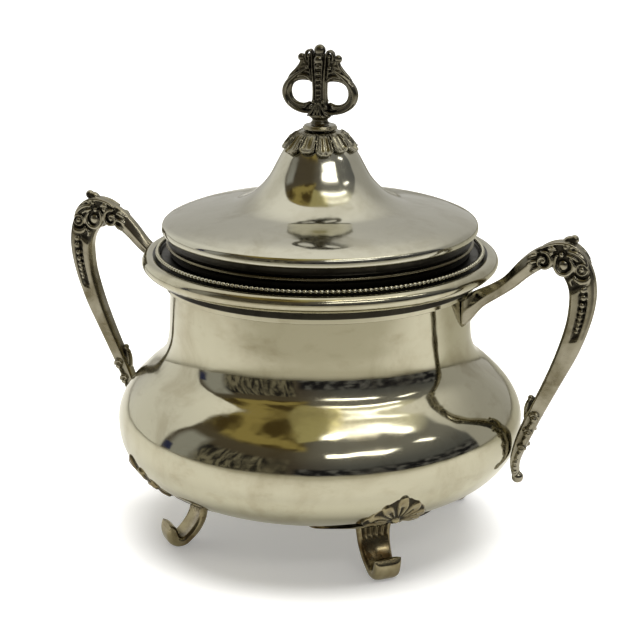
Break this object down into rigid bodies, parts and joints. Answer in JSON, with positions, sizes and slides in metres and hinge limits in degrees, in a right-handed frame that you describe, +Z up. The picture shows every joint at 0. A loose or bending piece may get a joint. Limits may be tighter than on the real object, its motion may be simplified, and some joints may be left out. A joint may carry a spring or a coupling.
{
  "type": "sugar bowl",
  "caption": "Lidded silver-plated sugar bowl: squat bellied body with a rolled beaded rim, scroll handles and feet, and a bell-shaped lift-off lid with an openwork finial.",
  "frame": {"origin": "on the table, under the middle of the bowl (bottom centre of the bounding box)", "axes": "+Z up along the bowl's axis, +X towards the right handle, -Y towards the front, with a foot on each diagonal"},
  "size_m": [0.216, 0.1568, 0.1894],
  "materials": {
    "polished_plate": "worn silver plate, mirror bright with faint scratches and a warm tarnish",
    "aged_plate": "silver plate, darkened in the recesses",
    "cast_plate": "cast and plated ornament, bright on the high points and nearly black in the hollows",
    "foot_plate": "cast and plated, with a brown-gold tarnish in the curl",
    "brass_fixing": "turned brass, dull"
  },
  "bodies": {
    "bowl": {"bowl_body": "polished_plate", "rim_collar": "polished_plate", "seat_ring": "aged_plate", "bead_wire": "aged_plate", "handle_right": "cast_plate", "handle_left": "cast_plate", "foot_back_right": "foot_plate", "foot_back_left": "foot_plate", "foot_front_left": "foot_plate", "foot_front_right": "foot_plate"},
    "lid": {"lid_shell": "polished_plate", "lid_flange": "aged_plate", "lid_calyx": "cast_plate", "finial_disc": "cast_plate", "finial": "cast_plate", "finial_stud": "brass_fixing", "finial_washer": "brass_fixing", "finial_nut": "brass_fixing"}
  },
  "joints": [
    {"name": "lid_lift", "type": "slide", "parent": "bowl", "child": "lid", "axis": [0, 0, 1], "range_m": [0, 0.085]}
  ]
}
